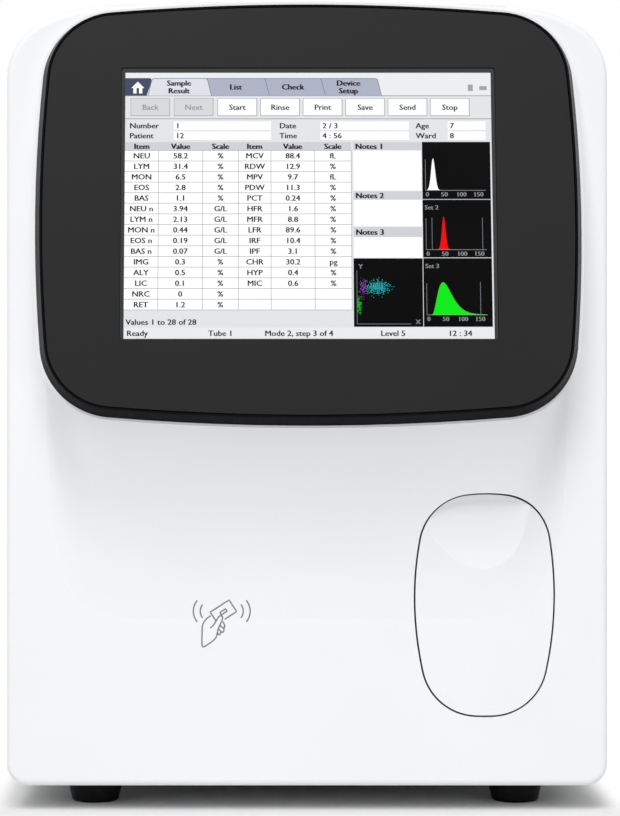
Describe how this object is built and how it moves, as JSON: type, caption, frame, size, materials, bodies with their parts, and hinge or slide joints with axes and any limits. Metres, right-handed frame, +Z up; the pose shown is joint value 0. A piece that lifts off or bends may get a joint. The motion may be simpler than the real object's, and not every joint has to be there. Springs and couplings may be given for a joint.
{
  "type": "differential cell counter",
  "caption": "Bench-top cell counter: white rounded cabinet, dark tilted touch screen pod, sample door that tips open with a tube cup, moving probe inside.",
  "frame": {"origin": "bottom centre of the whole instrument, on the surface that it stands on", "axes": "+X to the user's right, +Y to the back, +Z up; the screen and the sample door face -Y"},
  "size_m": [0.364, 0.431, 0.492],
  "materials": {
    "cover_plastic": "moulded white plastic, satin gloss",
    "cover_paint": "white powder paint on sheet steel",
    "rear_paint": "light grey powder paint",
    "liner_plastic": "moulded light grey plastic",
    "holder_plastic": "machined black plastic",
    "pod_plastic": "black moulded rim",
    "fascia_plastic": "dark grey face plate",
    "screen": "smooth dark touch screen",
    "black_plastic": "moulded black plastic",
    "dark_metal": "black enamel",
    "machined": "machined and bead blasted",
    "steel": "ground",
    "brass": "turned",
    "rubber": "moulded, slightly shiny",
    "circuit_board": "green laminate",
    "bath_plastic": "translucent white plastic",
    "clear_tube": "clear drawn glass"
  },
  "bodies": {
    "cabinet": {"front_cover": "cover_plastic", "door_hinge_pins": "steel", "compartment_liner": "liner_plastic", "door_magnet": "dark_metal", "top_cover": "cover_paint", "left_side_cover": "cover_paint", "right_side_cover": "cover_paint", "rear_panel": "rear_paint", "case_screws": "steel", "base_tray": "rear_paint", "rubber_feet": "rubber", "display_housing": "pod_plastic", "display_fascia": "fascia_plastic", "touch_glass": "screen", "lcd_panel": "dark_metal", "display_board": "circuit_board", "card_reader_board": "circuit_board", "chassis_plate": "rear_paint", "gantry_blocks": "machined", "gantry_rods": "steel", "traverse_motor": "dark_metal", "counting_baths": "bath_plastic", "bath_bracket": "machined", "syringe_frame": "machined", "syringe_barrels": "clear_tube", "syringe_motor": "dark_metal", "optical_bench": "machined", "laser_module": "dark_metal", "flow_cell": "dark_metal", "detector_board": "circuit_board", "main_board": "circuit_board", "power_supply": "machined", "fan_frame": "black_plastic", "fan_guard": "steel", "power_inlet": "black_plastic", "power_switch_frame": "black_plastic", "hose_fittings": "bath_plastic", "data_sockets": "steel", "earth_stud": "brass", "valve_manifold": "bath_plastic", "solenoid_valves": "dark_metal", "vacuum_pump": "dark_metal", "waste_chamber": "bath_plastic", "reagent_heater": "machined"},
    "door": {"sample_door": "cover_plastic", "tube_holder": "holder_plastic", "tube_holder_screws": "steel"},
    "carriage": {"probe_carriage": "machined", "wash_block": "holder_plastic", "lift_rod": "steel", "lift_motor": "dark_metal"},
    "lift": {"probe_arm": "machined", "sample_probe": "steel"},
    "traverse_drive": {"traverse_screw": "steel"},
    "lift_drive": {"lift_screw": "steel"},
    "plungers": {"plunger_yoke": "machined", "syringe_plungers": "rubber"},
    "syringe_drive": {"syringe_screw": "steel"},
    "fan": {"fan_rotor": "black_plastic"},
    "rocker": {"power_rocker": "black_plastic"}
  },
  "joints": [
    {"name": "door_hinge", "type": "hinge", "parent": "cabinet", "child": "door", "pos_m": [0.1073, -0.15589, 0.0923], "axis": [1, 0, 0], "range_deg": [0, 40]},
    {"name": "probe_traverse", "type": "slide", "parent": "cabinet", "child": "carriage", "axis": [-1, 0, 0], "range_m": [0, 0.155]},
    {"name": "probe_lift", "type": "slide", "parent": "carriage", "child": "lift", "axis": [0, 0, -1], "range_m": [0, 0.106]},
    {"name": "traverse_screw_spin", "type": "hinge", "parent": "cabinet", "child": "traverse_drive", "pos_m": [0.1073, -0.08589, 0.275], "axis": [1, 0, 0], "range_deg": [0, 5580.1]},
    {"name": "lift_screw_spin", "type": "hinge", "parent": "carriage", "child": "lift_drive", "pos_m": [0.1203, -0.10989, 0.215], "axis": [0, 0, 1], "range_deg": [0, 3816.1]},
    {"name": "syringe_stroke", "type": "slide", "parent": "cabinet", "child": "plungers", "axis": [0, 0, 1], "range_m": [0, 0.04]},
    {"name": "syringe_screw_spin", "type": "hinge", "parent": "cabinet", "child": "syringe_drive", "pos_m": [-0.147, -0.08789, 0.184], "axis": [0, 0, 1], "range_deg": [0, 3600.1]},
    {"name": "fan_spin", "type": "hinge", "parent": "cabinet", "child": "fan", "pos_m": [-0.088, 0.1745, 0.348], "axis": [0, 1, 0], "continuous": true},
    {"name": "power_rocker_tilt", "type": "hinge", "parent": "cabinet", "child": "rocker", "pos_m": [0.118, 0.201, 0.118], "axis": [1, 0, 0], "range_deg": [0, 14]}
  ],
  "couplings": [
    {"joint": "traverse_screw_spin", "follows": "probe_traverse", "rad_per_m": 628.32},
    {"joint": "lift_screw_spin", "follows": "probe_lift", "rad_per_m": 628.32},
    {"joint": "syringe_screw_spin", "follows": "syringe_stroke", "rad_per_m": 1570.8}
  ]
}
